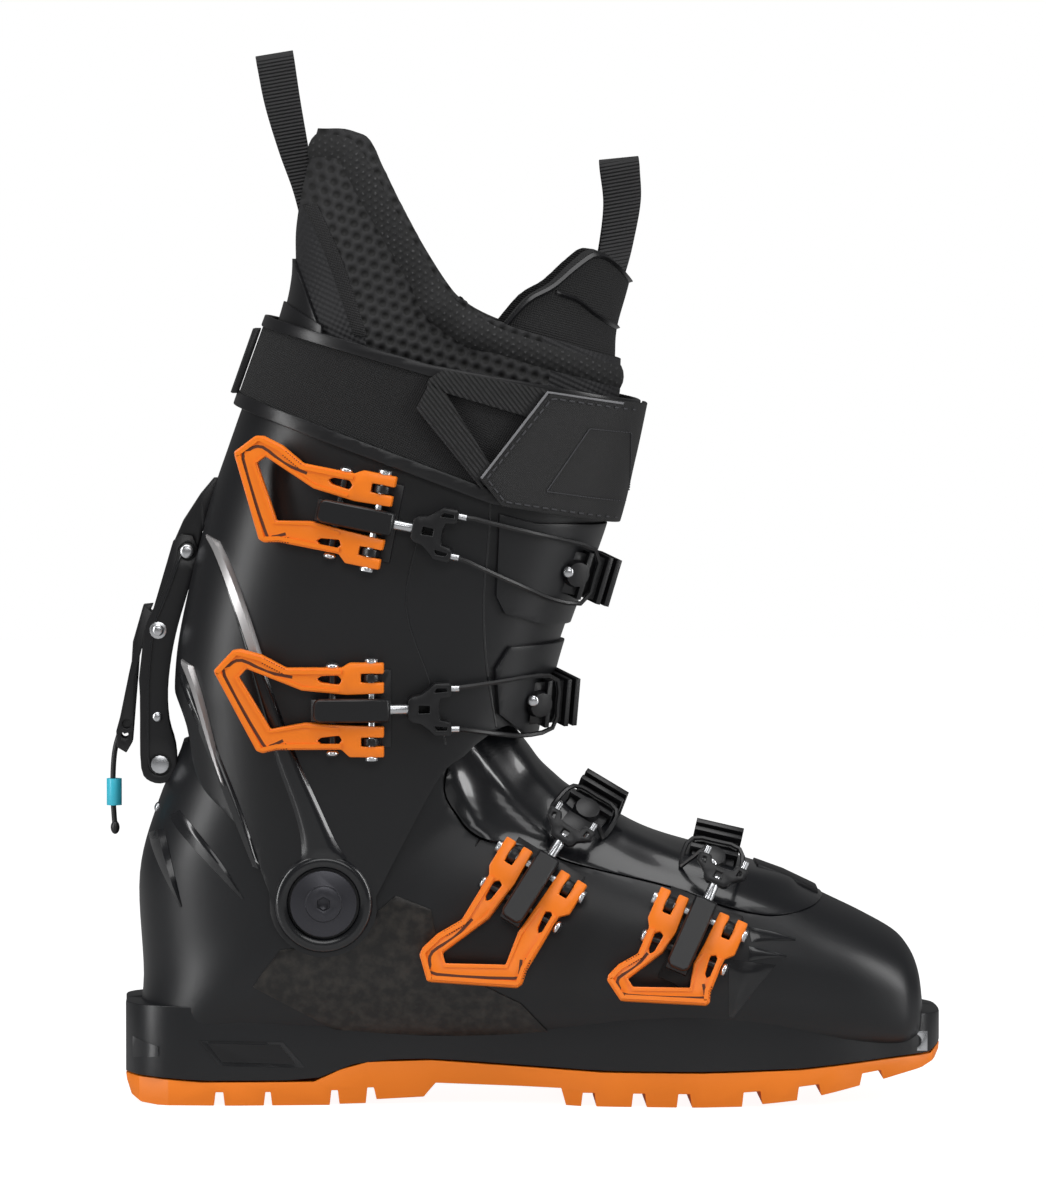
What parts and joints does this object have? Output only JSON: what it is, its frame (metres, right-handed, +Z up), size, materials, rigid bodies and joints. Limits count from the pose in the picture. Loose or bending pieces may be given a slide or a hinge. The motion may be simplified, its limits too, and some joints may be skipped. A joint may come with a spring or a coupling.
{
  "type": "ski touring boot",
  "caption": "Right ski touring boot with a hinged cuff, lever buckles pulling cable yokes, a rear walk lock bar, a removable liner, a power strap and a lugged rubber sole.",
  "frame": {"origin": "on the ground under the middle of the boot, half way between heel and toe and between the two sides, measured without the hanging cord", "axes": "+X towards the toe, +Y towards the medial side, +Z up; the lateral side with the buckle levers faces -Y"},
  "size_m": [0.3116, 0.121, 0.3924],
  "materials": {
    "shell_plastic": "satin, carbon-look weave on the quarter",
    "gloss_plastic": "gloss",
    "trim_plastic": "satin",
    "sole_rubber": "matte",
    "lever_plastic": "satin",
    "steel": "brushed",
    "liner_fabric": "matte",
    "strap_fabric": "matte",
    "webbing": "ribbed",
    "foam": "matte",
    "cable": "black coated",
    "cord": "braided",
    "bead_plastic": "satin"
  },
  "bodies": {
    "shell": {"lower_shell": "shell_plastic", "outsole": "sole_rubber", "toe_insert": "steel", "heel_insert": "steel", "instep_flap": "gloss_plastic", "flap_anchor": "trim_plastic", "boot_board": "foam", "liner_foot": "liner_fabric", "footbed": "foam", "pivot_bolt_lateral": "gloss_plastic", "pivot_bolt_medial": "gloss_plastic", "bar_heel_pin": "steel", "instep_base": "trim_plastic", "instep_base_pin": "steel", "instep_catch": "trim_plastic", "toe_base": "trim_plastic", "toe_base_pin": "steel", "toe_catch": "trim_plastic"},
    "cuff": {"cuff_shell": "shell_plastic", "liner_cuff": "liner_fabric", "power_strap": "strap_fabric", "finger_tab": "strap_fabric", "strap_clip": "trim_plastic", "cuff_bracket": "trim_plastic", "bar_top_pin": "steel", "rear_pull_loop": "webbing", "front_pull_loop": "webbing", "upper_base": "trim_plastic", "upper_base_pin": "steel", "upper_catch": "trim_plastic", "lower_base": "trim_plastic", "lower_base_pin": "steel", "lower_catch": "trim_plastic"},
    "lock_bar": {"lock_bar": "trim_plastic", "release_pin": "steel"},
    "release_lever": {"release_lever": "trim_plastic", "pull_cord": "cord", "cord_bead": "bead_plastic"},
    "upper_lever": {"upper_lever": "lever_plastic"},
    "upper_link": {"upper_block": "trim_plastic", "upper_bolt": "steel", "upper_yoke": "trim_plastic", "upper_cable": "cable"},
    "lower_lever": {"lower_lever": "lever_plastic"},
    "lower_link": {"lower_block": "trim_plastic", "lower_bolt": "steel", "lower_yoke": "trim_plastic", "lower_cable": "cable"},
    "instep_lever": {"instep_lever": "lever_plastic"},
    "instep_link": {"instep_block": "trim_plastic", "instep_bolt": "steel", "instep_yoke": "trim_plastic", "instep_cable": "cable"},
    "toe_lever": {"toe_lever": "lever_plastic"},
    "toe_link": {"toe_block": "trim_plastic", "toe_bolt": "steel", "toe_yoke": "trim_plastic", "toe_cable": "cable"}
  },
  "joints": [
    {"name": "cuff_pivot", "type": "hinge", "parent": "shell", "child": "cuff", "pos_m": [-0.07705, 0.00329, 0.0766], "axis": [0, 1, 0], "range_deg": [-20, 7], "deforming": ["pull_cord", "cord_bead"]},
    {"name": "lock_bar_pivot", "type": "hinge", "parent": "shell", "child": "lock_bar", "pos_m": [-0.13795, 0.00329, 0.1254], "axis": [0, 1, 0], "range_deg": [-37, 13]},
    {"name": "release_pivot", "type": "hinge", "parent": "lock_bar", "child": "release_lever", "pos_m": [-0.13845, 0.00329, 0.1756], "axis": [0, 1, 0], "range_deg": [0, 35]},
    {"name": "upper_lever_hinge", "type": "hinge", "parent": "cuff", "child": "upper_lever", "pos_m": [-0.05762, -0.05649, 0.2184], "axis": [0.1934, -0.0159, 0.981], "range_deg": [0, 105]},
    {"name": "upper_link_hinge", "type": "hinge", "parent": "upper_lever", "child": "upper_link", "pos_m": [-0.07156, -0.0542, 0.22119], "axis": [0.1934, -0.0159, 0.981], "range_deg": [-100, 0]},
    {"name": "lower_lever_hinge", "type": "hinge", "parent": "cuff", "child": "lower_lever", "pos_m": [-0.05933, -0.05499, 0.14873], "axis": [-0.0014, -0.025, 0.9997], "range_deg": [0, 105]},
    {"name": "lower_link_hinge", "type": "hinge", "parent": "lower_lever", "child": "lower_link", "pos_m": [-0.07371, -0.05418, 0.14873], "axis": [-0.0014, -0.025, 0.9997], "range_deg": [-100, 0]},
    {"name": "instep_lever_hinge", "type": "hinge", "parent": "shell", "child": "instep_lever", "pos_m": [0.00334, -0.04582, 0.08811], "axis": [-0.8445, 0.1644, 0.5097], "range_deg": [0, 75]},
    {"name": "instep_link_hinge", "type": "hinge", "parent": "instep_lever", "child": "instep_link", "pos_m": [-0.00426, -0.04715, 0.07595], "axis": [-0.8445, 0.1644, 0.5097], "range_deg": [-75, 0]},
    {"name": "toe_lever_hinge", "type": "hinge", "parent": "shell", "child": "toe_lever", "pos_m": [0.06188, -0.05207, 0.0717], "axis": [-0.9126, 0.1354, 0.3859], "range_deg": [0, 90]},
    {"name": "toe_link_hinge", "type": "hinge", "parent": "toe_lever", "child": "toe_link", "pos_m": [0.05608, -0.05403, 0.05867], "axis": [-0.9126, 0.1354, 0.3859], "range_deg": [-86, 0]}
  ],
  "couplings": [
    {"joint": "lock_bar_pivot", "follows": "cuff_pivot", "ratio": 1.83},
    {"joint": "upper_link_hinge", "follows": "upper_lever_hinge", "ratio": -0.95},
    {"joint": "lower_link_hinge", "follows": "lower_lever_hinge", "ratio": -0.95},
    {"joint": "instep_link_hinge", "follows": "instep_lever_hinge", "ratio": -1},
    {"joint": "toe_link_hinge", "follows": "toe_lever_hinge", "ratio": -0.95}
  ]
}
